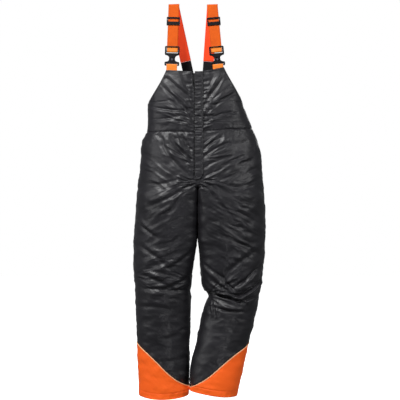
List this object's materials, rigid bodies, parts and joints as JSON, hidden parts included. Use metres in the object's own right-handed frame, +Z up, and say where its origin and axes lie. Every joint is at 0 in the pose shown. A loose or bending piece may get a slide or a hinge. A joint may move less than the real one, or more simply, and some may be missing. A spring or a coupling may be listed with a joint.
{
  "type": "chainsaw bib trousers",
  "caption": "Padded bib-and-brace work trousers with front zip under a storm flap, clip-on adjustable braces and contrast leg cuffs, hung from a bar",
  "frame": {"origin": "on the axis of the bar that it hangs from, midway between the two braces", "axes": "+Z up along the hanging garment, -Y is the wearer's front, +X is the wearer's left"},
  "size_m": [0.4893, 0.2536, 1.4597],
  "materials": {
    "shell_black": "smooth dense woven nylon, black, slight satin sheen",
    "cuff_orange": "smooth woven nylon, orange",
    "piping_pale": "pale reflective piping",
    "cut_pad": "loose layered cut-protection fibre",
    "lining_dark": "thin matt woven lining",
    "webbing_orange": "ribbed flat webbing, orange",
    "elastic_black": "ribbed black elastic",
    "fitting_plastic": "moulded black acetal, slight sheen",
    "zip_metal": "dull plated zinc"
  },
  "bodies": {
    "trousers": {"bib_front_right": "shell_black", "bib_front_left": "shell_black", "leg_front_right": "shell_black", "leg_front_left": "shell_black", "leg_back_right": "shell_black", "leg_back_left": "shell_black", "bib_back": "shell_black", "waistband_elastic": "elastic_black", "hem_cuff_right": "cuff_orange", "hem_cuff_left": "cuff_orange", "cuff_piping_right": "piping_pale", "cuff_piping_left": "piping_pale", "cut_pad_right": "cut_pad", "cut_pad_left": "cut_pad", "lining_front_right": "lining_dark", "lining_front_left": "lining_dark", "lining_back_right": "lining_dark", "lining_back_left": "lining_dark", "seat_pocket": "shell_black", "zip_tape_right": "lining_dark", "zip_tape_left": "lining_dark", "zip_stop": "zip_metal", "flap_seam_strip": "shell_black", "buckle_tab_right": "webbing_orange", "buckle_tab_left": "webbing_orange", "buckle_socket_right": "fitting_plastic", "buckle_socket_left": "fitting_plastic", "rear_elastic_right": "elastic_black", "rear_elastic_left": "elastic_black"},
    "brace_right": {"brace_webbing_right": "webbing_orange", "webbing_return_right": "webbing_orange", "buckle_tongue_right": "fitting_plastic"},
    "adjuster_right": {"adjuster_right": "fitting_plastic"},
    "button_right": {"release_button_right": "fitting_plastic"},
    "brace_left": {"brace_webbing_left": "webbing_orange", "webbing_return_left": "webbing_orange", "buckle_tongue_left": "fitting_plastic"},
    "adjuster_left": {"adjuster_left": "fitting_plastic"},
    "button_left": {"release_button_left": "fitting_plastic"},
    "storm_flap": {"storm_flap": "shell_black"},
    "zip_slider": {"zip_slider": "zip_metal"},
    "zip_pull": {"zip_pull": "zip_metal"}
  },
  "joints": [
    {"name": "brace_unclip_right", "type": "slide", "parent": "trousers", "child": "brace_right", "axis": [0.0286, 0.2344, 0.9717], "range_m": [0, 0.045], "deforming": ["rear_elastic_right"]},
    {"name": "adjuster_slide_right", "type": "slide", "parent": "brace_right", "child": "adjuster_right", "axis": [0.0286, 0.2344, 0.9717], "range_m": [-0.065, 0], "deforming": ["webbing_return_right"]},
    {"name": "release_button_right", "type": "slide", "parent": "brace_right", "child": "button_right", "axis": [0, 0.9721, -0.2344], "range_m": [0, 0.002], "stiffness_N_per_m": 250},
    {"name": "brace_unclip_left", "type": "slide", "parent": "trousers", "child": "brace_left", "axis": [-0.0853, 0.2413, 0.9667], "range_m": [0, 0.045], "deforming": ["rear_elastic_left"]},
    {"name": "adjuster_slide_left", "type": "slide", "parent": "brace_left", "child": "adjuster_left", "axis": [-0.0853, 0.2413, 0.9667], "range_m": [-0.065, 0], "deforming": ["webbing_return_left"]},
    {"name": "release_button_left", "type": "slide", "parent": "brace_left", "child": "button_left", "axis": [0, 0.9702, -0.2421], "range_m": [0, 0.002], "stiffness_N_per_m": 250},
    {"name": "storm_flap_hinge", "type": "hinge", "parent": "trousers", "child": "storm_flap", "pos_m": [0.016, -0.10808, -0.45269], "axis": [0, 0.0928, 0.9957], "range_deg": [0, 150]},
    {"name": "zip_slide", "type": "slide", "parent": "trousers", "child": "zip_slider", "axis": [0, -0.0928, -0.9957], "range_m": [0, 0.348]},
    {"name": "zip_pull_hinge", "type": "hinge", "parent": "zip_slider", "child": "zip_pull", "pos_m": [0, -0.08542, -0.26016], "axis": [-1, 0, 0], "range_deg": [0, 90]}
  ],
  "couplings": [
    {"joint": "zip_pull_hinge", "follows": "storm_flap_hinge", "ratio": 0.6}
  ]
}
